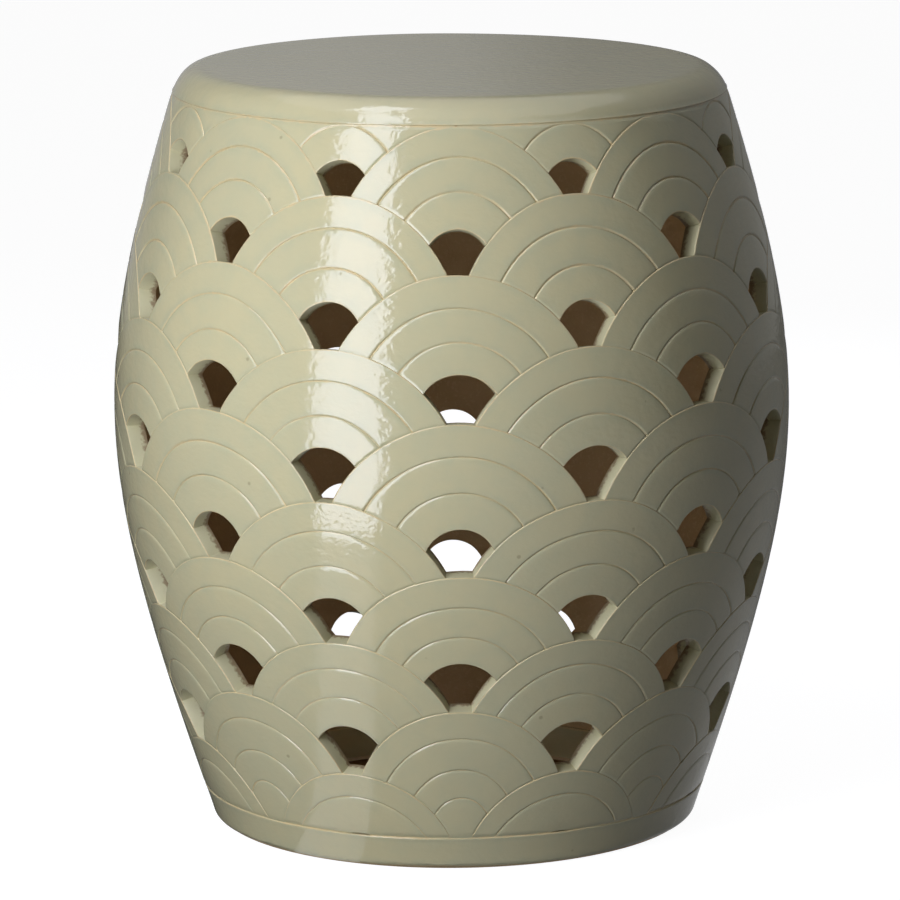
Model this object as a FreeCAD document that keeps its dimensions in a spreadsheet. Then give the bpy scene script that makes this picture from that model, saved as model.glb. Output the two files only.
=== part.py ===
import FreeCAD, Part
import math
import os

import Sketcher

# Ceramic garden stool
# A barrel of stoneware, fired as one but luted together from five clay pieces: the pierced wall,
# the seat slab on its upper edge, the foot ring under its lower edge, and the two coils of clay
# that are pressed into the inside corners of those joints.
# The origin is at the middle of the flat face that the stool rests on, +Z up.

# Driving dimensions, in millimetres, degrees and counts
SIZES = {
    "stool_height": 457,
    "seat_band": 17,
    "foot_line_height": 20.2,
    "belly_radius": 203,
    "belly_height": 251,
    "belly_curve": 134,
    "flank_slope": 0.38,
    "near_belly": 46,
    "far_belly": 88,
    "low_flank": 140,
    "inside_belly": 70,
    "wall_thickness": 11,
    "seat_thickness": 13,
    "seat_shoulder": 18,
    "seat_land": 21,
    "foot_land": 22,
    "foot_rounding": 4,
    "foot_inner_edge": 3,
    "scored_line": 0.9,
    "coil_leg": 8,
    "columns": 8,
    "rows": 9,
    "first_row_height": 91.5,
    "top_row_clearance": 16.5,
    "piercing_height": 27.5,
    "piercing_drop": 11,
    "piercing_corner_angle": 5.5,
    "piercing_base_angle": 2.05,
    "scale_radius": 82,
    "cutter_margin": 6,
}

doc = FreeCAD.newDocument("garden_stool")
sheet = doc.addObject("Spreadsheet::Sheet", "sizes")
sheet.Label = "sizes"
for line, (alias, value) in enumerate(SIZES.items(), start=1):
    sheet.set("A%d" % line, alias)
    sheet.set("B%d" % line, str(value))
    sheet.setAlias("B%d" % line, alias)
doc.recompute()


def cell(alias):
    """How an expression names a value of the sheet."""
    return "<<sizes>>." + alias


def value_of(expression):
    """The number that an expression now gives."""
    return float(sheet.evalExpression(expression))


# Form of the barrel
# The outline is a hyperbola: round at the belly and nearly straight at both flanks. Its radius at
# a height is the belly radius, less the flank slope times what the long side of the triangle over
# the belly curve has grown since the belly.
def long_side(height):
    """Expression for the long side of the belly curve and the height from the belly."""
    return "sqrt(%s ^ 2 + (%s - %s) ^ 2)" % (cell("belly_curve"), height, cell("belly_height"))


def wall_radius(height):
    """Expression for the outer radius of the barrel at a height."""
    growth = "(%s - %s)" % (long_side(height), cell("belly_curve"))
    return "(%s - %s * %s)" % (cell("belly_radius"), cell("flank_slope"), growth)


def narrowing(height):
    """Expression for how fast the barrel narrows upwards at a height."""
    return "(%s * (%s - %s) / %s)" % (
        cell("flank_slope"), height, cell("belly_height"), long_side(height))


# Sketches and features
def origin_plane(body, role):
    """One of the body's own origin planes."""
    return [plane for plane in body.Origin.OriginFeatures if plane.Role == role][0]


def new_body(label):
    """An empty body whose label names the piece."""
    body = doc.addObject("PartDesign::Body", label)
    body.Label = label
    return body


def new_sketch(body, name, support):
    """A sketch of the body, attached flat to one of its planes."""
    sketch = body.newObject("Sketcher::SketchObject", name)
    sketch.AttachmentSupport = [(support, "")]
    sketch.MapMode = "FlatFace"
    return sketch


def bind(sketch, name, kind, targets, expression):
    """Add a named dimension to the sketch and drive it from the sheet."""
    dimension = Sketcher.Constraint(kind, *targets, value_of(expression))
    sketch.renameConstraint(sketch.addConstraint(dimension), name)
    sketch.setExpression("Constraints." + name, expression)


def arc_between(start, end, radius):
    """Circular arc that runs anticlockwise from start to end, under half a turn."""
    chord = end - start
    to_centre = FreeCAD.Vector(-chord.y, chord.x, 0).normalize()
    centre = (start + end) / 2 + to_centre * math.sqrt(radius ** 2 - (chord.Length / 2) ** 2)
    first = math.atan2(start.y - centre.y, start.x - centre.x)
    last = math.atan2(end.y - centre.y, end.x - centre.x)
    circle = Part.Circle(centre, FreeCAD.Vector(0, 0, 1), radius)
    return Part.ArcOfCircle(circle, first, last)


ON_AXIS = None
ON_GROUND = None
H_AXIS, V_AXIS = range(-1, -3, -1)
START, END = range(1, 3)


def turned_outline(body, name, points):
    """A closed outline of straight sides beside the axis, given anticlockwise.

    Each point is a radius and a height, both expressions; None puts it on the axis or the ground.
    """
    sketch = new_sketch(body, name, origin_plane(body, "XZ_Plane"))
    corners = []
    for radius, height in points:
        across = 0 if radius is ON_AXIS else value_of(radius)
        up = 0 if height is ON_GROUND else value_of(height)
        corners.append(FreeCAD.Vector(across, up, 0))
    for number, start in enumerate(corners):
        end = corners[(number + 1) % len(corners)]
        sketch.addGeometry(Part.LineSegment(start, end), False)
    for number, (radius, height) in enumerate(points):
        before = (number - 1) % len(points)
        sketch.addConstraint(Sketcher.Constraint("Coincident", before, END, number, START))
        if radius is ON_AXIS:
            sketch.addConstraint(Sketcher.Constraint("PointOnObject", number, START, V_AXIS))
        else:
            bind(sketch, "radius_%d" % number, "DistanceX", (-1, 1, number, START), radius)
        if height is ON_GROUND:
            sketch.addConstraint(Sketcher.Constraint("PointOnObject", number, START, H_AXIS))
        else:
            bind(sketch, "height_%d" % number, "DistanceY", (-1, 1, number, START), height)
    return sketch


def turn(body, name, sketch):
    """Revolve an outline once round the stool's upright axis."""
    turned = body.newObject("PartDesign::Revolution", name)
    turned.Profile = sketch
    turned.ReferenceAxis = (sketch, ["V_Axis"])
    turned.Angle = 360
    body.Tip = turned
    doc.recompute()
    return turned


def round_edge(feature, height, widest=True):
    """Name of the widest, or the narrowest, circular edge that a turned piece has at a height."""
    found = []
    for number, edge in enumerate(feature.Shape.Edges, start=1):
        box = edge.BoundBox
        if max(abs(box.ZMin - height), abs(box.ZMax - height)) < 1e-4:
            found.append((box.XMax, "Edge%d" % number))
    return max(found)[1] if widest else min(found)[1]


def dress(body, kind, name, feature, edges, measure, expression):
    """Chamfer or fillet edges of a piece by a size from the sheet."""
    dressed = body.newObject(kind, name)
    dressed.Base = (feature, edges)
    dressed.setExpression(measure, expression)
    body.Tip = dressed
    doc.recompute()
    return dressed


# Pierced wall
# The barrel between the two scored lines, turned in facets whose edges lie on the hyperbola, with
# a longer facet where the outline is straighter. Its edges are eased, which makes half of each
# scored line.
wall = new_body("pierced_wall")
top = cell("stool_height")
seat_line = "(%s - %s)" % (top, cell("seat_band"))
foot_line = cell("foot_line_height")
belly = cell("belly_height")
outside_heights = [foot_line]
for rise in ("- " + cell("low_flank"), "- " + cell("far_belly"), "- " + cell("near_belly"), "+ 0",
             "+ " + cell("near_belly"), "+ " + cell("far_belly")):
    outside_heights.append("(%s %s)" % (belly, rise))
outside_heights.append(seat_line)
inside_heights = [seat_line]
for rise in ("+ " + cell("inside_belly"), "- " + cell("inside_belly")):
    inside_heights.append("(%s %s)" % (belly, rise))
inside_heights.append(foot_line)
wall_points = [(wall_radius(height), height) for height in outside_heights]
for height in inside_heights:
    wall_points.append(("%s - %s" % (wall_radius(height), cell("wall_thickness")), height))
wall_outline = turned_outline(wall, "wall_outline", wall_points)
wall_turned = turn(wall, "wall_turned", wall_outline)
wall_rims = [round_edge(wall_turned, value_of(seat_line)), round_edge(wall_turned, value_of(foot_line))]
wall_eased = dress(wall, "PartDesign::Chamfer", "wall_rims_eased", wall_turned, wall_rims,
                   "Size", cell("scored_line"))

# Piercings of the wall
# Every row has one fan over each scale, and every second row is turned by half a column. The rows
# are spread evenly from the first to one that stays clear of the seat's scored line. A fan
# has a round head under the innermost arc of its own scale, sides that follow the rims of the two
# scales beside it, and a narrow base on the rim of the scale below it.
UPRIGHT = FreeCAD.Vector(0, 1, 0)
SIDEWAYS = FreeCAD.Vector(1, 0, 0)
half_column = wall.newObject("PartDesign::Plane", "half_column_plane")
half_column.AttachmentSupport = [(origin_plane(wall, "XZ_Plane"), "")]
half_column.MapMode = "FlatFace"
half_column.AttachmentOffset = FreeCAD.Placement(FreeCAD.Vector(), FreeCAD.Rotation(UPRIGHT, 1))
half_column.setExpression(".AttachmentOffset.Rotation.Angle", "180 deg / " + cell("columns"))
last_row_height = "(%s - %s)" % (seat_line, cell("top_row_clearance"))
row_rise = "((%s - %s) / (%s - 1))" % (last_row_height, cell("first_row_height"), cell("rows"))


def fan_outline(name, support, row):
    """Outline of one piercing on a plane square to the wall, a little outside its surface.

    The sketch's own origin is at the fan's head.
    """
    height = "(%s + %d * %s)" % (cell("first_row_height"), row, row_rise)
    radius = wall_radius(height)
    lean = "atan(%s)" % narrowing(height)
    margin = cell("cutter_margin")
    sketch = new_sketch(wall, name, support)
    sketch.AttachmentOffset = FreeCAD.Placement(FreeCAD.Vector(), FreeCAD.Rotation(SIDEWAYS, -1))
    sketch.setExpression(".AttachmentOffset.Rotation.Angle", "-" + lean)
    sketch.setExpression(".AttachmentOffset.Base.y", "%s + %s * sin(%s)" % (height, margin, lean))
    sketch.setExpression(".AttachmentOffset.Base.z", "%s + %s * cos(%s)" % (radius, margin, lean))

    corner = "%s * %s * pi / 180" % (radius, cell("piercing_corner_angle"))
    base = "%s * %s * pi / 180" % (radius, cell("piercing_base_angle"))
    drop = cell("piercing_drop")
    depth = cell("piercing_height")
    rim = cell("scale_radius")
    head_radius = "((%s) ^ 2 + %s ^ 2) / (2 * %s)" % (corner, drop, drop)
    upper_right = FreeCAD.Vector(value_of(corner), -value_of(drop), 0)
    upper_left = FreeCAD.Vector(-value_of(corner), -value_of(drop), 0)
    lower_right = FreeCAD.Vector(value_of(base), -value_of(depth), 0)
    lower_left = FreeCAD.Vector(-value_of(base), -value_of(depth), 0)

    head = sketch.addGeometry(arc_between(upper_right, upper_left, value_of(head_radius)), False)
    left = sketch.addGeometry(arc_between(lower_left, upper_left, value_of(rim)), False)
    foot = sketch.addGeometry(arc_between(lower_right, lower_left, value_of(rim)), False)
    right = sketch.addGeometry(arc_between(upper_right, lower_right, value_of(rim)), False)
    for meeting in ((head, END, left, END), (left, START, foot, END),
                    (foot, START, right, END), (right, START, head, START)):
        sketch.addConstraint(Sketcher.Constraint("Coincident", *meeting))
    for arc, half_width, fall in ((head, corner, drop), (foot, base, depth)):
        bind(sketch, "right_end_%d" % arc, "DistanceX", (-1, 1, arc, START), half_width)
        bind(sketch, "left_end_%d" % arc, "DistanceX", (arc, END, -1, 1), half_width)
        bind(sketch, "fall_%d" % arc, "DistanceY", (arc, START, -1, 1), fall)
        sketch.addConstraint(Sketcher.Constraint("Horizontal", arc, START, arc, END))
    bind(sketch, "head_radius", "Radius", (head,), head_radius)
    for arc in (left, foot, right):
        bind(sketch, "rim_radius_%d" % arc, "Radius", (arc,), rim)
    return sketch


fans = []
solid_volume = wall_eased.Shape.Volume
for row in range(int(value_of(cell("rows")))):
    support = origin_plane(wall, "XZ_Plane") if row % 2 else half_column
    outline = fan_outline("fan_outline_%d" % row, support, row)
    fan = wall.newObject("PartDesign::Pocket", "fan_%d" % row)
    fan.Profile = outline
    fan.Type = "Length"
    fan.setExpression("Length", "2 * (%s + %s)" % (cell("cutter_margin"), cell("wall_thickness")))
    doc.recompute()
    if fan.Shape.Volume >= solid_volume:
        raise RuntimeError("the piercing of row %d cut nothing" % row)
    solid_volume = fan.Shape.Volume
    fans.append(fan)
fans_round = wall.newObject("PartDesign::PolarPattern", "fans_round_the_wall")
fans_round.Originals = fans
fans_round.Axis = (wall_outline, ["V_Axis"])
fans_round.Angle = 360
fans_round.setExpression("Occurrences", cell("columns"))
wall.Tip = fans_round

# Seat slab
# A disc with a turned-down rim that stands on the wall's upper edge. Its side carries on the
# slope of the wall, and the shoulder to the flat top is well rounded.
seat = new_body("seat_slab")
seat_under = "(%s - %s)" % (top, cell("seat_thickness"))
seat_edge = wall_radius(seat_line)
seat_top_edge = "(%s - %s * (%s - %s))" % (seat_edge, narrowing(seat_line), top, seat_line)
seat_rim_inside = "(%s - %s)" % (seat_edge, cell("seat_land"))
seat_outline = turned_outline(seat, "seat_outline", [
    (ON_AXIS, seat_under),
    (seat_rim_inside, seat_under),
    (seat_rim_inside, seat_line),
    (seat_edge, seat_line),
    (seat_top_edge, top),
    (ON_AXIS, top),
])
seat_turned = turn(seat, "seat_turned", seat_outline)
seat_rounded = dress(seat, "PartDesign::Fillet", "seat_shoulder", seat_turned,
                     [round_edge(seat_turned, value_of(top))], "Radius", cell("seat_shoulder"))
dress(seat, "PartDesign::Chamfer", "seat_rim_eased", seat_rounded,
      [round_edge(seat_rounded, value_of(seat_line))], "Size", cell("scored_line"))

# Foot ring
# A low ring under the wall, thicker than the wall so that it makes a ledge inside. It carries on
# the slope of the wall down to a rounded edge, and stands on its flat underside.
foot = new_body("foot_ring")
foot_edge = wall_radius(foot_line)
foot_bottom_edge = "(%s + %s * %s)" % (foot_edge, narrowing(foot_line), foot_line)
foot_inside = "(%s - %s)" % (foot_edge, cell("foot_land"))
foot_outline = turned_outline(foot, "foot_outline", [
    (foot_inside, ON_GROUND),
    (foot_bottom_edge, ON_GROUND),
    (foot_edge, foot_line),
    (foot_inside, foot_line),
])
foot_turned = turn(foot, "foot_turned", foot_outline)
foot_rounded = dress(foot, "PartDesign::Fillet", "foot_rounding", foot_turned,
                     [round_edge(foot_turned, 0)], "Radius", cell("foot_rounding"))
foot_eased = dress(foot, "PartDesign::Chamfer", "foot_inner_edge", foot_rounded,
                   [round_edge(foot_rounded, 0, widest=False)], "Size", cell("foot_inner_edge"))
dress(foot, "PartDesign::Chamfer", "foot_rim_eased", foot_eased,
      [round_edge(foot_eased, value_of(foot_line))], "Size", cell("scored_line"))


# Luting coils
# A roll of soft clay is pressed into each inside corner and smoothed off to a bevel. It bears on
# the wall's inner face and on the seat's rim or the foot's ledge.
def luting_coil(label, joint_height, way):
    """A coil at a joint; the way, plus or minus, says whether the wall lies above or below it."""
    body = new_body(label)
    corner = "(%s - %s)" % (wall_radius(joint_height), cell("wall_thickness"))
    toe = "(%s - %s)" % (corner, cell("coil_leg"))
    reach = "(%s %s %s)" % (joint_height, way, cell("coil_leg"))
    facet_height = "(%s %s %s)" % (belly, "-" if way == "+" else "+", cell("inside_belly"))
    facet_radius = "(%s - %s)" % (wall_radius(facet_height), cell("wall_thickness"))
    share = "(%s / abs(%s - %s))" % (cell("coil_leg"), facet_height, joint_height)
    wall_face = "(%s + (%s - %s) * %s)" % (corner, facet_radius, corner, share)
    points = [(toe, joint_height), (corner, joint_height), (wall_face, reach)]
    if way == "-":
        points.reverse()
    turn(body, label + "_turned", turned_outline(body, label + "_outline", points))


luting_coil("seat_luting_coil", seat_line, "-")
luting_coil("foot_luting_coil", foot_line, "+")
doc.recompute()

# Check of the whole document, then one file for each piece
for item in doc.Objects:
    if "Invalid" in item.State or "Error" in item.State:
        raise RuntimeError("%s did not build: %s" % (item.Name, item.getStatusString()))
os.makedirs("parts", exist_ok=True)
for piece in doc.findObjects("PartDesign::Body"):
    shape = piece.Shape
    if shape.isNull() or not shape.isValid() or len(shape.Solids) != 1:
        raise RuntimeError(piece.Label + " is not one sound solid")
    shape.exportStep("parts/%s.step" % piece.Label)
    print("%s: %.0f cubic mm, %d faces" % (piece.Label, shape.Volume, len(shape.Faces)))
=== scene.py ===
import math

import bpy
import numpy as np
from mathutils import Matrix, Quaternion, Vector


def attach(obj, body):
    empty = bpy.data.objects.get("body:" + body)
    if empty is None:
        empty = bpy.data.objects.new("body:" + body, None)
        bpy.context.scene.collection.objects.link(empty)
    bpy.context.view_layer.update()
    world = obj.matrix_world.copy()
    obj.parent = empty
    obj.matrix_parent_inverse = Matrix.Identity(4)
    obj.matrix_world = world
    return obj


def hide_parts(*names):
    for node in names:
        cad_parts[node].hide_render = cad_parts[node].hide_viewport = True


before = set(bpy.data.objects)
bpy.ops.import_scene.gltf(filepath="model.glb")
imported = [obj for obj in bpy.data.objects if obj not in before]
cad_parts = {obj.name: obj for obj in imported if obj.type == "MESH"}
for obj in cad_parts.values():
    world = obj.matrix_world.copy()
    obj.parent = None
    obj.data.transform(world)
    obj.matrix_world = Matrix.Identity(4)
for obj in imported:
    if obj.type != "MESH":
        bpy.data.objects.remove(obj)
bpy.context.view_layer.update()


# ---- Scales of the wall ----
# The barrel wall is leather-hard stoneware, thrown and carved into eleven rows of overlapping
# scales. Each scale has a raised rim, two incised rings and a fan cut right through the wall.
# The glaze runs thin and cream on every edge, and the inside is left as bare brown clay.

# Lengths are in millimetres here; on_barrel and turned make metres of them.
BELLY = 203.0           # radius of the barrel where it is widest
BELLY_HEIGHT = 251.0
FLARE = 0.38            # slope that both ends of the barrel come near to
BEND = 134.0            # height over which the face bends from upright to that slope
COLUMNS = 8
PITCH = 2 * math.pi * BELLY / COLUMNS   # from one scale to the next in a row, round the belly
WALL = 11.0             # thickness of the wall
RIM = 82.0              # radius of a scale's rim, as drawn on the unrolled wall
TUCK = 0.8              # how far a scale runs on under the rim below it
HAIR = 0.02             # sets plain ground a touch below the scales that it meets
FOOT_LINE = 21.8        # heights of the two scored border lines, measured up the face
SEAT_LINE = 453.4
SLIP_ROUND = 5.2        # how far the pattern has slipped at the back, round and down
SLIP_DOWN = 7.3
GLAZE, CUT, BARE = 0, 1, 2   # the finishes of a piece, by number
FAR = 9.0               # so far from a line or from the glaze that neither shows


def wall_radius(z):
    """Radius of the outer face at height z: the belly radius, less a hyperbola's rise."""
    return BELLY - FLARE * (np.hypot(BEND, z - BELLY_HEIGHT) - BEND)


def wall_slope(z):
    """Change of that radius with height, which is the hyperbola's own slope."""
    return -FLARE * (z - BELLY_HEIGHT) / np.hypot(BEND, z - BELLY_HEIGHT)


# Length along the face from the ground up to each height.
heights = np.linspace(-20.0, 470.0, 4901)
steps = np.diff(heights) * np.sqrt(1 + wall_slope((heights[1:] + heights[:-1]) / 2) ** 2)
run = np.concatenate([[0.0], np.cumsum(steps)])
run -= np.interp(0.0, heights, run)


def drift(x, s):
    """Drift of the hand-drawn pattern: a few waves of whole turns, and a slip towards the back."""
    a = x / BELLY
    behind = (0.5 - 0.5 * np.cos(a)) ** 3
    dx = 0.45 * np.sin(5 * a + s / 47 + 1.1) + 0.30 * np.sin(11 * a - s / 31 + 4.0)
    ds = 0.45 * np.sin(7 * a - s / 53 + 2.3) + 0.30 * np.sin(13 * a + s / 37 + 0.4)
    # Both border lines stay where they are, so the drift up and down fades out towards them.
    fade = np.clip(np.minimum(s - FOOT_LINE, SEAT_LINE - s) / 40, 0, 1)
    return x + (dx - SLIP_ROUND * behind), s + (ds - SLIP_DOWN * behind) * fade


def on_barrel(x, s, depth):
    """Unrolled point to solid, in metres.

    x round the belly becomes an angle, s up the face a height, and depth goes in square to it.
    """
    x, s = drift(x, s)
    z = np.interp(s, run, heights)
    slope = wall_slope(z)
    length = np.sqrt(1 + slope**2)
    r = wall_radius(z) - depth / length
    z = z + depth * slope / length
    a = x / BELLY
    return np.stack([r * np.sin(a), -r * np.cos(a), z], -1) * 0.001


def put(tree, kind, inputs=None, **settings):
    """A new node with its settings made and each named input filled or linked."""
    node = tree.nodes.new(kind)
    for name, value in settings.items():
        setattr(node, name, value)
    for name, value in (inputs or {}).items():
        if isinstance(value, bpy.types.NodeSocket):
            tree.links.new(value, node.inputs[name])
        else:
            node.inputs[name].default_value = value
    return node


def seen(r, g, b):
    """A colour as the eye reads it, 0 to 255, turned to the linear values that a shader takes."""
    c = np.array([r, g, b]) / 255
    c = np.where(c <= 0.04045, c / 12.92, ((c + 0.055) / 1.055) ** 2.4)
    return (*c.tolist(), 1.0)


def new_group(name, inputs, outputs):
    """An empty shader node group with float inputs and the outputs named."""
    group = bpy.data.node_groups.new(name, "ShaderNodeTree")
    for socket, value in inputs.items():
        made = group.interface.new_socket(socket, in_out="INPUT", socket_type="NodeSocketFloat")
        made.default_value = value
    for socket in outputs:
        group.interface.new_socket(socket, in_out="OUTPUT", socket_type="NodeSocketFloat")
    return group, group.nodes.new("NodeGroupInput"), group.nodes.new("NodeGroupOutput")


def own_place(tree):
    """The shaded point in its object's own coordinates, in metres."""
    return tree.nodes.new("ShaderNodeTexCoord").outputs["Object"]


def noise(tree, place, scale, detail):
    """Soft noise round a half, with about that many waves to the metre."""
    inputs = {"Vector": place, "Scale": scale, "Detail": detail}
    return put(tree, "ShaderNodeTexNoise", inputs).outputs[0]


def mix(tree, share, a, b):
    """Colour a going over to colour b by that share."""
    inputs = {0: share, 6: a, 7: b}
    return put(tree, "ShaderNodeMix", inputs, data_type="RGBA", blend_type="MIX").outputs[2]


def ramp(tree, value, low, high, start, end):
    """Value from low to high, eased in and out between start and end."""
    inputs = {"Value": value, "From Min": low, "From Max": high, "To Min": start, "To Max": end}
    return put(tree, "ShaderNodeMapRange", inputs, interpolation_type="SMOOTHSTEP").outputs[0]


def maths(tree, operation, a, b=0.0):
    """One sum on two values."""
    return put(tree, "ShaderNodeMath", {0: a, 1: b}, operation=operation).outputs[0]


# Specks and pinholes that firing leaves: round spots in a few of many small cells.
specks, specks_in, specks_out = new_group("firing_specks", {"Cells": 120.0, "Share": 0.1},
                                          ["Spots"])
cells = put(specks, "ShaderNodeTexVoronoi",
            {"Vector": own_place(specks), "Scale": specks_in.outputs["Cells"]})
spot = ramp(specks, cells.outputs["Distance"], 0.10, 0.24, 1.0, 0.0)
pick = put(specks, "ShaderNodeSeparateColor", {"Color": cells.outputs["Color"]}).outputs[0]
chosen = maths(specks, "LESS_THAN", pick, specks_in.outputs["Share"])
specks.links.new(maths(specks, "MULTIPLY", spot, chosen), specks_out.inputs["Spots"])

# Grain of the fired clay: fine sand and grog, and broad patches of colour.
grain, grain_in, grain_out = new_group("clay_grain", {"Size": 300.0}, ["Height", "Patches"])
place = own_place(grain)
grain.links.new(noise(grain, place, grain_in.outputs["Size"], 4.0), grain_out.inputs["Height"])
grain.links.new(noise(grain, place, 22.0, 3.0), grain_out.inputs["Patches"])


def new_finish(name):
    """An empty material with its shader, and the tree to build in."""
    material = bpy.data.materials.new(name)
    material.use_nodes = True
    return material, material.node_tree, material.node_tree.nodes["Principled BSDF"]


# Sage glaze: glossy, mottled, bluish where it pools beside a line and cream where it breaks.
sage_glaze, tree, shader = new_finish("sage_glaze")
place = own_place(tree)
line_gap = put(tree, "ShaderNodeAttribute", attribute_name="line_gap").outputs["Fac"]
ragged = ramp(tree, noise(tree, place, 260.0, 2.0), 0.25, 0.75, -0.28, 0.28)
gap_drawn = maths(tree, "ADD", line_gap, ragged)
clouds = noise(tree, place, 14.0, 3.0)
mottle = noise(tree, place, 75.0, 3.0)
body = mix(tree, ramp(tree, clouds, 0.3, 0.7, 0.0, 1.0), seen(205, 196, 152), seen(200, 193, 152))
body = mix(tree, ramp(tree, mottle, 0.35, 0.75, 0.0, 0.35), body, seen(191, 190, 152))
beside_line = ramp(tree, gap_drawn, 0.6, 5.0, 0.3, 0.0)
pooled = maths(tree, "MULTIPLY", beside_line, ramp(tree, mottle, 0.3, 0.65, 0.3, 1.0))
body = mix(tree, pooled, body, seen(178, 182, 150))
on_line = ramp(tree, gap_drawn, 0.2, 0.75, 1.0, 0.0)
worn = ramp(tree, noise(tree, place, 38.0, 2.0), 0.35, 0.62, 0.5, 1.0)
breaking = maths(tree, "MULTIPLY", on_line, worn)
body = mix(tree, breaking, body, seen(214, 196, 149))
dark = put(tree, "ShaderNodeGroup", node_tree=specks)
dark.inputs["Cells"].default_value = 150.0
dark.inputs["Share"].default_value = 0.009
body = mix(tree, maths(tree, "MULTIPLY", dark.outputs["Spots"], 0.35), body, seen(120, 104, 74))
tree.links.new(body, shader.inputs["Base Color"])
tree.links.new(ramp(tree, breaking, 0.0, 1.0, 0.055, 0.12), shader.inputs["Roughness"])
flat_place = put(tree, "ShaderNodeMapping", {"Vector": place, "Scale": (1.0, 1.0, 1.4)}).outputs[0]
ripple = maths(tree, "MULTIPLY", noise(tree, flat_place, 230.0, 2.0), 1.5)
surface = maths(tree, "ADD", noise(tree, place, 80.0, 1.0), ripple)
skin = put(tree, "ShaderNodeBump", {"Height": surface, "Strength": 1.0, "Distance": 0.00014})
pits = put(tree, "ShaderNodeBump", {"Height": dark.outputs["Spots"], "Normal": skin.outputs[0],
                                    "Strength": 0.3, "Distance": -0.0003})
tree.links.new(pits.outputs[0], shader.inputs["Normal"])
shader.inputs["IOR"].default_value = 1.56

# Cut face: pale clay under a thin wash of glaze, browner and rougher towards the inside.
cut_face, tree, shader = new_finish("cut_face")
depth_in = put(tree, "ShaderNodeAttribute", attribute_name="depth").outputs["Fac"]
clay = put(tree, "ShaderNodeGroup", node_tree=grain)
clay.inputs["Size"].default_value = 420.0
edge = maths(tree, "ADD", depth_in, ramp(tree, clay.outputs["Height"], 0.3, 0.7, -1.2, 1.2))
patchy = ramp(tree, clay.outputs["Patches"], 0.35, 0.65, 0.0, 1.0)
body = mix(tree, patchy, seen(208, 203, 163), seen(191, 186, 147))
body = mix(tree, ramp(tree, edge, 7.0, 10.0, 0.0, 0.7), body, seen(120, 84, 50))
tree.links.new(body, shader.inputs["Base Color"])
tree.links.new(ramp(tree, edge, 1.0, 9.0, 0.3, 0.6), shader.inputs["Roughness"])
knife = put(tree, "ShaderNodeBump",
            {"Height": clay.outputs["Height"], "Strength": 0.5, "Distance": 0.0004})
tree.links.new(knife.outputs[0], shader.inputs["Normal"])

# Bare clay: fired brown stoneware with throwing rings and grog.
bare_clay, tree, shader = new_finish("bare_clay")
clay = put(tree, "ShaderNodeGroup", node_tree=grain)
clay.inputs["Size"].default_value = 500.0
height = put(tree, "ShaderNodeSeparateXYZ", {"Vector": own_place(tree)}).outputs["Z"]
throwing = maths(tree, "SINE", maths(tree, "MULTIPLY", height, 620.0))
patchy = ramp(tree, clay.outputs["Patches"], 0.3, 0.7, 0.0, 1.0)
body = mix(tree, patchy, seen(206, 177, 130), seen(192, 162, 114))
grog = ramp(tree, clay.outputs["Height"], 0.5, 0.7, 0.0, 0.5)
body = mix(tree, grog, body, seen(216, 190, 144))
tree.links.new(body, shader.inputs["Base Color"])
dull = ramp(tree, clay.outputs["Height"], 0.3, 0.7, 0.75, 0.95)
tree.links.new(dull, shader.inputs["Roughness"])
rough = maths(tree, "ADD", clay.outputs["Height"], maths(tree, "MULTIPLY", throwing, 0.4))
skin = put(tree, "ShaderNodeBump", {"Height": rough, "Strength": 0.6, "Distance": 0.0006})
tree.links.new(skin.outputs[0], shader.inputs["Normal"])


def make_piece(name, points, faces, finish, line_gap, depth, node, slot):
    """A closed mesh piece that stands for a node of the CAD part.

    It takes points, faces, the finish number of each face and two values at each point.
    """
    mesh = bpy.data.meshes.new(name)
    mesh.from_pydata(points.tolist(), [], faces)
    for material in (sage_glaze, cut_face, bare_clay):
        mesh.materials.append(material)
    mesh.polygons.foreach_set("material_index", np.asarray(finish, np.int32))
    mesh.shade_smooth()
    mesh.set_sharp_from_angle(angle=math.radians(42))
    for word, values in (("line_gap", line_gap), ("depth", depth)):
        layer = mesh.attributes.new(word, "FLOAT", "POINT")
        layer.data.foreach_set("value", np.asarray(values, np.float32))
    piece = bpy.data.objects.new(name, mesh)
    bpy.context.scene.collection.objects.link(piece)
    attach(piece, "root")
    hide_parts(node)


def thick_patch(x, s, sink, line_gap, inner):
    """A patch of wall: a grid for its carved face, one at depth inner, and four sides between."""
    rows, columns = x.shape
    count = rows * columns
    face = on_barrel(x, s, sink).reshape(-1, 3)
    back = on_barrel(x, s, np.full(x.shape, inner)).reshape(-1, 3)
    at = np.arange(count).reshape(rows, columns)
    front = np.stack([at[:-1, :-1], at[1:, :-1], at[1:, 1:], at[:-1, 1:]], -1).reshape(-1, 4)
    behind = front[:, ::-1] + count
    loop = np.concatenate([at[:-1, 0], at[-1, :-1], at[:0:-1, -1], at[0, :0:-1]])
    after = np.roll(loop, -1)
    sides = np.stack([after, loop, loop + count, after + count], -1)
    faces = np.concatenate([front, sides, behind])
    finish = np.repeat([GLAZE, CUT, BARE], [len(front), len(sides), len(behind)])
    gaps = np.concatenate([line_gap.ravel(), np.full(count, FAR)])
    depth = np.concatenate([sink.ravel(), np.full(count, inner)])
    return np.concatenate([face, back]), faces, finish, gaps, depth


def joined(patches):
    """Several patches as one set of points, faces, finishes and values."""
    points, faces, *values = zip(*patches)
    starts = np.cumsum([0] + [len(p) for p in points[:-1]])
    faces = np.concatenate([f + start for f, start in zip(faces, starts)]).tolist()
    return np.concatenate(points), faces, *(np.concatenate(v) for v in values)


def eased(t):
    """Smooth step from 0 to 1."""
    t = np.clip(t, 0, 1)
    return t * t * (3 - 2 * t)


def bump(t):
    """A bell: 1 at 0, and next to nothing from 2 on."""
    return np.exp(-(t**2))


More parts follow.
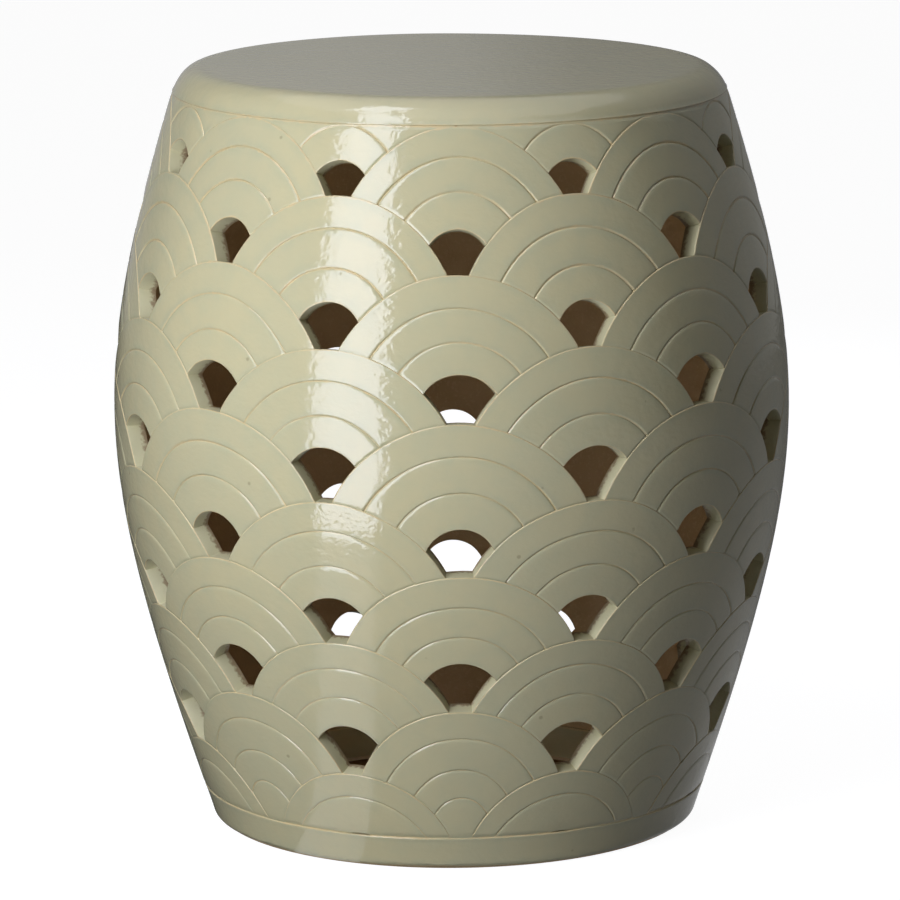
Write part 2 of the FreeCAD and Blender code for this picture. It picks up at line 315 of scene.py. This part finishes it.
def rounding(gap, size):
    """Depth of a rounded edge at that distance from it: a quarter circle."""
    near = np.clip(size - gap, 0, size)
    return size - np.sqrt(np.maximum(size**2 - near**2, 0))


def scored(beyond, deep):
    """Depth of an incised line at that distance beyond it.

    It is a soft V, with a long lip on the side of the scale's middle.
    """
    return deep * bump(beyond / 0.55) + 0.27 * bump(beyond / 1.6) * (beyond < 0)


# Offsets of the grid rows from an edge and from a line, and of its points from both row ends.
EDGE_ROWS = np.array([0.0, 0.06, 0.2, 0.45, 0.75, 1.05, 1.4])
LINE_ROWS = np.array([-4.0, -3.0, -2.3, -1.8, -1.45, -1.1, -0.75, -0.5, -0.25, 0.0,
                      0.25, 0.5, 0.75, 1.1, 1.45, 1.8])
END_POINTS = np.array([0.0, 0.8, 1.15, 1.6, 2.1, 2.6, 3.1, 4.5, 7.0])


def ring_radii(stops, edges, lines):
    """Radii of the grid rows between stops: close together at edges and lines, wide between."""
    radii = [np.linspace(a, b, max(3, int(abs(b - a) / 4.5) + 1))
             for a, b in zip(stops[:-1], stops[1:])]
    radii += [edge + way * EDGE_ROWS for edge, way in edges]
    radii += [line + LINE_ROWS for line in lines]
    radii = np.unique(np.round(np.concatenate(radii), 3))
    radii = radii[(radii >= stops[0] - 1e-6) & (radii <= stops[-1] + 1e-6)]
    return radii[np.concatenate([[True], np.diff(radii) > 0.05])]


def sweep(low, high, radius, middle):
    """Angles across each grid row: set millimetres apart near both its ends, even between."""
    t = np.linspace(0, 1, middle + 2)[1:-1]
    fixed = np.concatenate([END_POINTS, END_POINTS[-1] * (1 - 2 * t), -END_POINTS[::-1]])
    share = np.concatenate([END_POINTS * 0, t, END_POINTS * 0 + 1])
    length = (radius * (high - low))[:, None]
    crowded = np.minimum(1, length / (2.5 * END_POINTS[-1]))
    return low[:, None] + (fixed * crowded + length * share) / radius[:, None]


def neighbour_angle(radius, rise, rim):
    """Lowest angle of a ring before it runs under the neighbour below.

    It is the crossing of two circles whose middles are PITCH / 2 and rise apart.
    """
    apart = math.hypot(PITCH / 2, rise)
    tilt = math.atan2(rise, PITCH / 2)
    cosine = (radius**2 + apart**2 - rim**2) / (2 * radius * apart)
    return np.arccos(np.clip(cosine, -1, 1)) - tilt


def under_rims(x, s, rise):
    """Distance from a scale's own points to the nearer rim of the two neighbours below."""
    return np.minimum(np.hypot(x - PITCH / 2, s + rise), np.hypot(x + PITCH / 2, s + rise)) - RIM


# Rows from the foot up: rim height up the face, then radii of the rings and of the fan's head.
ROWS = [
    ("scales_01", 63.5, [66.6], None),
    ("scales_02", 107.3, [64.1, 43.6, 23.1], None),
    ("scales_03", 149.8, [66.0, 47.3], 28.0),
    ("scales_04", 194.2, [63.3, 44.7], 26.6),
    ("scales_05", 235.7, [64.0, 43.7], 24.5),
    ("scales_06", 283.5, [63.0, 43.1], 21.5),
    ("scales_07", 325.1, [63.5, 43.1], 24.3),
    ("scales_08", 368.3, [63.5, 43.3], 25.2),
    ("scales_09", 412.9, [62.9, 40.8], 21.3),
    ("scales_10", 453.4, [64.5, 44.2], 22.6),
    ("scales_11", 491.3, [43.3], 23.5),
]
LAST = len(ROWS) - 1
EDGE = 0.6              # radius of the rounding at a rim or round a fan
hand = np.random.default_rng(7619)

for number, (name, rim_height, rings, fan) in enumerate(ROWS):
    middle_height = rim_height - RIM
    foot_line = FOOT_LINE - middle_height
    seat_line = SEAT_LINE - middle_height
    rise = rim_height - ROWS[number - 1][1] if number else None
    # Every second row is a little thicker, so that the inner faces of two rows don't coincide.
    inner = WALL + 0.05 * (number % 2)
    # The knife was pressed harder in the upper rows, and its lines came out wider there.
    deep, narrow = (0.40, 1.2) if number < 5 else (0.50, 0.95) if number < 8 else (0.62, 0.65)
    patches = []
    for column in range(COLUMNS):
        across = PITCH * (column + (0.5 if number % 2 == 0 else 0.0))
        drawn = [ring + hand.normal(0, 0.35) for ring in rings]
        head = fan + hand.normal(0, 0.35) if fan else None
        # Each region of a scale is a set of rings, from a lowest to a highest angle.
        regions = []
        if number == 0:
            radius = ring_radii([foot_line + 0.7, *drawn, RIM], [(RIM, -1)], drawn)
            low = np.arcsin((foot_line - TUCK) / radius)
            regions.append((radius, low, math.pi - low, 0.0))
        elif number == LAST:
            radius = ring_radii([head, seat_line], [(head, 1)], drawn)
            low = neighbour_angle(radius, rise, RIM - TUCK)
            regions.append((radius, low, math.pi - low, 0.0))
            # The seat line cuts the top of these scales off, and leaves a corner on both sides.
            radius = np.concatenate([seat_line + np.array([-0.3, 0.3, 1.0, 2.0]),
                                     np.linspace(seat_line + 3.5, 90.4, 18)])
            low = neighbour_angle(radius, rise, RIM - TUCK)
            high = np.arcsin(np.clip((seat_line + TUCK) / radius, 0, 1))
            regions.append((radius, low, high, HAIR))
            regions.append((radius, math.pi - high, math.pi - low, HAIR))
        else:
            first = head if fan else drawn[-1] - 1.3
            edges = [(RIM, -1)] + ([(head, 1)] if fan else [])
            radius = ring_radii([first, *sorted(drawn), RIM], edges, drawn)
            low = neighbour_angle(radius, rise, RIM - TUCK)
            regions.append((radius, low, math.pi - low, 0.0))
        grids = []
        for radius, low, high, lower in regions:
            angle = sweep(low, high, radius, 44)
            radius = radius[:, None]
            grids.append((radius * np.cos(angle), radius * np.sin(angle), lower))
        if number == 1:
            # Plain ground inside the smallest ring, ruled from the foot line up to that ring.
            top = np.array([drawn[-1] - 0.9])
            low = neighbour_angle(top, rise, RIM - TUCK)
            angle = sweep(low, math.pi - low, top, 16)
            share = np.linspace(0, 1, 9)[:, None]
            base = FOOT_LINE - TUCK - middle_height
            half = PITCH / 2 - math.sqrt((RIM - TUCK) ** 2 - (base + rise) ** 2)
            level = np.linspace(half, -half, angle.shape[1])[None]
            x = (1 - share) * level + share * top * np.cos(angle)
            s = (1 - share) * base + share * top * np.sin(angle)
            grids.append((x, s, HAIR))
        for x, s, lower in grids:
            from_middle = np.hypot(x, s)
            sink = sum(scored(from_middle - ring, deep) for ring in drawn) + lower
            gap = np.min([np.abs(from_middle - ring) for ring in drawn], axis=0)
            if number < LAST:
                sink = np.maximum(sink, rounding(RIM - from_middle, EDGE))
                gap = np.minimum(gap, np.clip(RIM - from_middle - 0.2, 0, None))
            if fan:
                sink = np.maximum(sink, rounding(from_middle - head, EDGE))
                gap = np.minimum(gap, np.clip(from_middle - head - 0.1, 0, None))
            if number:
                beside = under_rims(x, s, rise)
                clear = np.clip(beside, 0, None)
                sink = sink + 0.04 * (1 - eased(beside / 6)) + 0.40 * bump(clear / 0.7)
                gap = np.minimum(gap, clear + 0.6)
            if number in (0, 1, LAST - 1, LAST):
                close = np.clip(s - foot_line if number < 2 else seat_line - s, 0, None)
                sink = np.maximum(sink, 0.7 * (1 - eased(close / 2.5)))
                gap = np.minimum(gap, close + 0.15)
            patches.append(thick_patch(x + across, s + middle_height, sink, gap * narrow, inner))
    make_piece(name, *joined(patches), "pierced_wall", "glaze")


# ---- Seat ----
# The seat is one slab of clay, thrown flat and set on the wall's top edge. Its shoulder is
# rounded off by hand into a flat top, and a line is scored where it meets the scales.

TOP = 457.0
SEAT_UNDER = 444.0      # height of the slab's underside
FLAT_R = 147.5          # radius of the flat top, inside the shoulder
JOINT = 21.0            # width of the face on which seat or foot meets the wall
BEAD = 0.7              # radius of the rounded edge beside a scored line
SEGMENTS = 288


def turned(profile, closed, segments, waver, gaps, depth, finish):
    """A profile of (radius, height) turned round the upright axis, in metres.

    What waver gives is added to radius and height. A radius of 0 makes one point, a pole.
    """
    turn = np.arange(segments) * 2 * math.pi / segments
    points, faces, marks, line_gap, deep, rings = [], [], [], [], [], []
    count = 0
    for (r, z), gap, d in zip(profile, gaps, depth):
        size = 1 if r == 0 else segments
        a = turn[:size]
        dr, dz = waver(np.full(size, r), np.full(size, z), a)
        points.append(np.stack([(r + dr) * np.sin(a), -(r + dr) * np.cos(a), z + dz], -1))
        rings.append(count + np.arange(size))
        line_gap.append(np.full(size, gap))
        deep.append(np.full(size, d))
        count += size
    pairs = list(zip(rings, rings[1:])) + ([(rings[-1], rings[0])] if closed else [])
    for (a, b), mark in zip(pairs, finish):
        if len(a) == 1:
            made = [[int(a[0]), int(v), int(w)] for v, w in zip(np.roll(b, -1), b)]
        elif len(b) == 1:
            made = [[int(b[0]), int(v), int(w)] for v, w in zip(a, np.roll(a, -1))]
        else:
            made = np.stack([a, np.roll(a, -1), np.roll(b, -1), b], -1).tolist()
        faces += made
        marks += [mark] * len(made)
    points = np.concatenate(points) * 0.001
    return points, faces, marks, np.concatenate(line_gap), np.concatenate(deep)


def curve(t, a, b, c, d):
    """Cubic curve from a to d, drawn towards b and c on its way."""
    return (1 - t) ** 3 * a + 3 * (1 - t) ** 2 * t * b + 3 * (1 - t) * t**2 * c + t**3 * d


line_z = float(np.interp(SEAT_LINE, run, heights))
edge_r = float(wall_radius(line_z))
land_r = edge_r - JOINT
quarter = np.radians(np.linspace(0, 90, 6))
lower_edge = [(edge_r - 0.85 + BEAD * math.sin(t), line_z + 0.05 + BEAD * (1 - math.cos(t)))
              for t in quarter]
start_z = line_z + 1.6
start_r = float(wall_radius(start_z)) - 0.3
crown = [(curve(t, start_r, start_r - 3.8, FLAT_R + 9, FLAT_R),
          curve(t, start_z, start_z + 8, TOP, TOP)) for t in np.linspace(0, 1, 17)]
flat = [(float(r), TOP) for r in np.linspace(138, 12, 22)]
underside = [(0, SEAT_UNDER), (land_r * 0.5, SEAT_UNDER), (land_r, SEAT_UNDER)]
seat_profile = underside + [(land_r, line_z + 0.02)] + lower_edge + crown + flat + [(0, TOP)]
seat_gap = [max(0.0, z - line_z - 0.35) if r > land_r + 1 and z < 446 else FAR
            for r, z in seat_profile]
seat_depth = [FAR if z < SEAT_UNDER + 0.5 and r <= land_r + 0.5 else 0.0 for r, z in seat_profile]
seat_finish = [BARE] * 4 + [GLAZE] * (len(seat_profile) - 5)


def seat_waver(r, z, a):
    """Unevenness of the hand-finished seat.

    Low waves and a slight lean sink into the slab, and the scored line's edge goes up and down.
    """
    top = np.clip((z - 441) / 12, 0, 1) * np.clip(r / 150, 0, 1)
    low = (0.10 * np.sin(3 * a + 0.6 + r / 40) + 0.07 * np.sin(5 * a + 2.0 - r / 30)
           + 0.05 * np.sin(8 * a + r / 22))
    line = 0.16 * np.sin(4 * a + 1.0) + 0.1 * np.sin(9 * a + 2.2) + 0.08 * np.sin(17 * a)
    line = np.where((z < 442) & (r > land_r + 1), line, 0)
    lean = -0.004 * (r * np.sin(a) + 150) * np.clip((z - 445) / 8, 0, 1)
    return -0.12 * top * (1 + np.sin(2 * a + 1)), (0.6 * low - 0.14) * top + lean + line


make_piece("seat", *turned(seat_profile, False, SEGMENTS, seat_waver, seat_gap, seat_depth,
                           seat_finish), "seat_slab", "glaze")


# ---- Foot ring ----
# The foot is a thick ring of clay thrown as part of the base. It is glazed outside down to a
# thin bare line, and its underside and inside are plain fired clay.

TOE_Z = 4.0             # height of the toe, the rounded edge at the ground
foot_z = float(np.interp(FOOT_LINE, run, heights))
foot_r = float(wall_radius(foot_z))
foot_edge = [(foot_r - 0.85 + BEAD * math.cos(t), foot_z - 0.75 + BEAD * math.sin(t))
             for t in quarter]
foot_side = [(float(wall_radius(z)), float(z)) for z in np.linspace(4.4, foot_z - 1.6, 8)]
toe_r = float(wall_radius(TOE_Z))
toe = [(toe_r - 4.4 + 4.4 * math.cos(t) - 0.9 * math.sin(t), TOE_Z - TOE_Z * math.sin(t))
       for t in np.radians(np.linspace(90, 10, 9))]
back_r = float(wall_radius(0.0)) - (JOINT + 1)
foot_profile = ([(back_r + 3, 0.0)] + toe + foot_side + foot_edge
                + [(foot_r - JOINT, foot_z - 0.04), (foot_r - (JOINT + 1), foot_z - 1.0),
                   (back_r, 3.0)])
foot_gap = [FAR if r < back_r + 6
            else min(max(0.0, foot_z - z - 0.25), max(0.0, (z - 1.9) * 0.8 + 0.4))
            for r, z in foot_profile]
unglazed = [z < 1.2 or r < back_r + 6 for r, z in foot_profile]
foot_depth = [FAR if bare else 0.0 for bare in unglazed]
foot_finish = [BARE if bare else GLAZE for bare in unglazed]


def foot_waver(r, z, a):
    """Unevenness of the hand-trimmed foot, kept inside its outline and off the ground."""
    line = 0.09 * np.sin(5 * a) + 0.05 * np.sin(11 * a + 1)
    toe_line = 0.25 + 0.25 * np.sin(7 * a + 2)
    return (-0.12 * (1 + np.sin(3 * a + 0.4)) * np.clip(z / 10, 0, 1),
            np.where((z > foot_z - 3) & (r > back_r + 8), line, 0)
            + np.where((z > 0.3) & (z < 3), toe_line, 0))


make_piece("foot", *turned(foot_profile, True, SEGMENTS, foot_waver, foot_gap, foot_depth,
                           foot_finish), "foot_ring", "glaze")


# ---- Luting coils ----
# Two rolls of soft clay pressed by thumb into the inside corners, where the wall meets the
# seat and the foot. They are bare clay and show only from below and through the fans.

LEG = 7.8               # how far a coil reaches along both faces of its corner


def coil_profile(joint, way):
    """A quarter round in the inside corner at that height, going up or down from it by way."""
    corner = float(wall_radius(joint)) - WALL
    arc = np.radians(np.linspace(0, 90, 9))
    points = [(corner - LEG * math.cos(t), joint + way * LEG * math.sin(t)) for t in arc]
    points = [(corner - LEG, joint), *points[1:], (corner + 0.2, joint + way * LEG),
              (corner + 0.2, joint)]
    return points if way < 0 else points[::-1]


def thumbed(r, z, a):
    """Dents of the thumb along the coil, always inwards to the corner."""
    press = 0.5 + 0.5 * np.sin(38 * a + 3 * np.sin(3 * a))
    return 0.9 * press * (r < r.max()), 0 * r


for name, joint, way, node in (("seat_coil", line_z - 0.4, -1, "seat_luting_coil"),
                               ("foot_coil", foot_z, 1, "foot_luting_coil")):
    profile = coil_profile(joint, way)
    n = len(profile)
    make_piece(name, *turned(profile, True, 228, thumbed, [FAR] * n, [FAR] * n, [BARE] * n),
               node, "bare_clay")


# ---- Camera ----
# Long lens, a little over three metres off and slightly above the seat, held a touch out of
# level, as the photograph was taken.

SENSOR = 36.0           # millimetres across the picture, which is 900 pixels wide
azimuth = math.radians(-1.3)
distance = 3.2480
camera = bpy.data.objects.new("camera", bpy.data.cameras.new("camera"))
bpy.context.scene.collection.objects.link(camera)
camera.location = (distance * math.sin(azimuth), -distance * math.cos(azimuth), 0.8686)
camera.rotation_mode = "QUATERNION"
level_view = (Vector((0, 0, 0.2215)) - camera.location).to_track_quat("-Z", "Y")
camera.rotation_quaternion = level_view @ Quaternion((0, 0, 1), math.radians(-0.384))
camera.data.sensor_width = SENSOR
camera.data.lens = 5483.5 / 900 * SENSOR
camera.data.shift_x = -0.00219
camera.data.clip_end = 60
bpy.context.scene.camera = camera
bpy.context.scene.view_settings.view_transform = "Standard"


# ---- Floor and light ----
# A white studio floor, one tall soft box at the front left with another above it, weaker light
# from the front, from behind and through the open foot, and grey cards for the glaze to mirror.

def watched(tree):
    """1 for a ray from the camera, from a mirror or through glass, and 0 for any other."""
    path = tree.nodes.new("ShaderNodeLightPath").outputs
    mirrored = maths(tree, "MAXIMUM", path["Is Camera Ray"], path["Is Glossy Ray"])
    return maths(tree, "MAXIMUM", mirrored, path["Is Transmission Ray"])


floor = bpy.data.objects.new("floor", bpy.data.meshes.new("floor"))
floor.data.from_pydata([(-14, -14, 0), (14, -14, 0), (14, 14, 0), (-14, 14, 0)], [], [(0, 1, 2, 3)])
bpy.context.scene.collection.objects.link(floor)
white_floor, tree, shader = new_finish("white_floor")
shader.inputs["Roughness"].default_value = 1.0
shader.inputs["Specular IOR Level"].default_value = 0.0
shader.inputs["Emission Color"].default_value = (1, 1, 1, 1)
# Inside the foot ring the floor carries painted shade: it is shut off from the studio's white
# there, and its colour is a painted warm dark brown for the shaded ground under the stool.
from_axis = put(tree, "ShaderNodeVectorMath", {0: own_place(tree)}, operation="LENGTH")
outside_painted_shade = ramp(tree, from_axis.outputs["Value"], 0.132, 0.142, 0.0, 1.0)
# Painted shade: dark brown floor colour inside the foot ring, plain grey outside it.
ground = mix(tree, outside_painted_shade, seen(120, 92, 62), (0.2, 0.2, 0.2, 1))
tree.links.new(ground, shader.inputs["Base Color"])
# The white glow stops inside the foot ring, which paints the shade there.
white = maths(tree, "MULTIPLY", watched(tree), maths(tree, "MULTIPLY", outside_painted_shade, 0.95))
tree.links.new(white, shader.inputs["Emission Strength"])
floor.data.materials.append(white_floor)
floor.visible_glossy = False

world = bpy.data.worlds.new("studio")
bpy.context.scene.world = world
world.use_nodes = True
tree = world.node_tree
background = tree.nodes["Background"]
tree.links.new(ramp(tree, watched(tree), 0.0, 1.0, 0.08, 1.0), background.inputs["Strength"])
background.inputs["Color"].default_value = (1, 1, 1, 1)


def soft_box(name, turn, distance, height, wide, tall, level, aim):
    """A lamp at that angle round the stool, facing the axis at height aim.

    In a mirror it is as bright as level.
    """
    lamp = bpy.data.lights.new(name, "AREA")
    lamp.shape = "RECTANGLE"
    lamp.size, lamp.size_y = wide, tall
    lamp.energy = level * math.pi * wide * tall
    lamp.color = (0.95, 0.98, 1.14)
    box = bpy.data.objects.new(name, lamp)
    bpy.context.scene.collection.objects.link(box)
    a = math.radians(turn)
    box.location = (distance * math.sin(a), -distance * math.cos(a), height)
    box.rotation_mode = "QUATERNION"
    box.rotation_quaternion = (Vector((0, 0, aim)) - box.location).to_track_quat("-Z", "Y")
    box.visible_camera = False
    return box


soft_box("front_soft_box", -33.3, 1.1, 0.86, 0.445, 2.08, 4.85, 0.86)
soft_box("overhead_box", -47.6, 0.77, 1.98, 0.40, 0.60, 4.8, 0.45)
soft_box("front_fill", -30, 1.0, 0.45, 0.60, 0.60, 1.35, 0.25).visible_glossy = False
soft_box("back_fill", 150, 1.3, 0.9, 1.0, 1.0, 1.4, 0.25).visible_glossy = False

glow = bpy.data.lights.new("light_through_the_foot", "POINT")
glow.energy, glow.shadow_soft_size = 0.045, 0.06
inside = bpy.data.objects.new("light_through_the_foot", glow)
bpy.context.scene.collection.objects.link(inside)
inside.location = (0, 0, 0.35)
inside.visible_camera = inside.visible_glossy = False


def grey_card(name, stops, inner, low, high):
    """A ring of card round the stool that only mirrors see.

    It goes from radius inner at height low to the studio's edge at height high, and its
    brightness is set at stops of (turn, level).
    """
    parts = 120
    edge = 2.6
    turn = np.linspace(stops[0][0], stops[-1][0], parts + 1)
    level = np.interp(turn, *zip(*stops))
    ring = np.stack([np.sin(np.radians(turn)), -np.cos(np.radians(turn))], -1)
    points = [(*p, low) for p in ring * inner] + [(*p, high) for p in ring * edge]
    faces = [(i, i + 1, i + parts + 2, i + parts + 1) for i in range(parts)]
    card = bpy.data.objects.new(name, bpy.data.meshes.new(name))
    card.data.from_pydata([tuple(map(float, p)) for p in points], [], faces)
    layer = card.data.attributes.new("level", "FLOAT", "POINT")
    layer.data.foreach_set("value", np.tile(level, 2).astype(np.float32))
    bpy.context.scene.collection.objects.link(card)
    paint, tree, shader = new_finish(name)
    shader.inputs["Base Color"].default_value = (0, 0, 0, 1)
    shader.inputs["Specular IOR Level"].default_value = 0.0
    shader.inputs["Emission Color"].default_value = (1, 1, 1, 1)
    shown = put(tree, "ShaderNodeAttribute", attribute_name="level").outputs["Fac"]
    tree.links.new(shown, shader.inputs["Emission Strength"])
    card.data.materials.append(paint)
    card.visible_camera = card.visible_diffuse = False
    card.visible_transmission = card.visible_shadow = False


wall_stops = [(-24, 0.04), (80, 0.06), (94, 0.28), (106, 0.42), (124, 0.38), (138, 0.30),
              (156, 0.22), (170, 0.14), (176, 0.21), (178, 0.33), (181, 0.38), (200, 0.38),
              (225, 0.06), (318, 0.06)]
table_stops = [(-24, 0.06), (10, 0.25), (60, 0.32), (104, 0.38), (120, 0.33), (138, 0.20),
               (150, 0.11), (176, 0.08), (186, 0.05), (318, 0.04)]
grey_card("wall_card", wall_stops, 2.6, 0.0, 3.4)
grey_card("table_card", table_stops, 0.145, 0.001, 0.001)
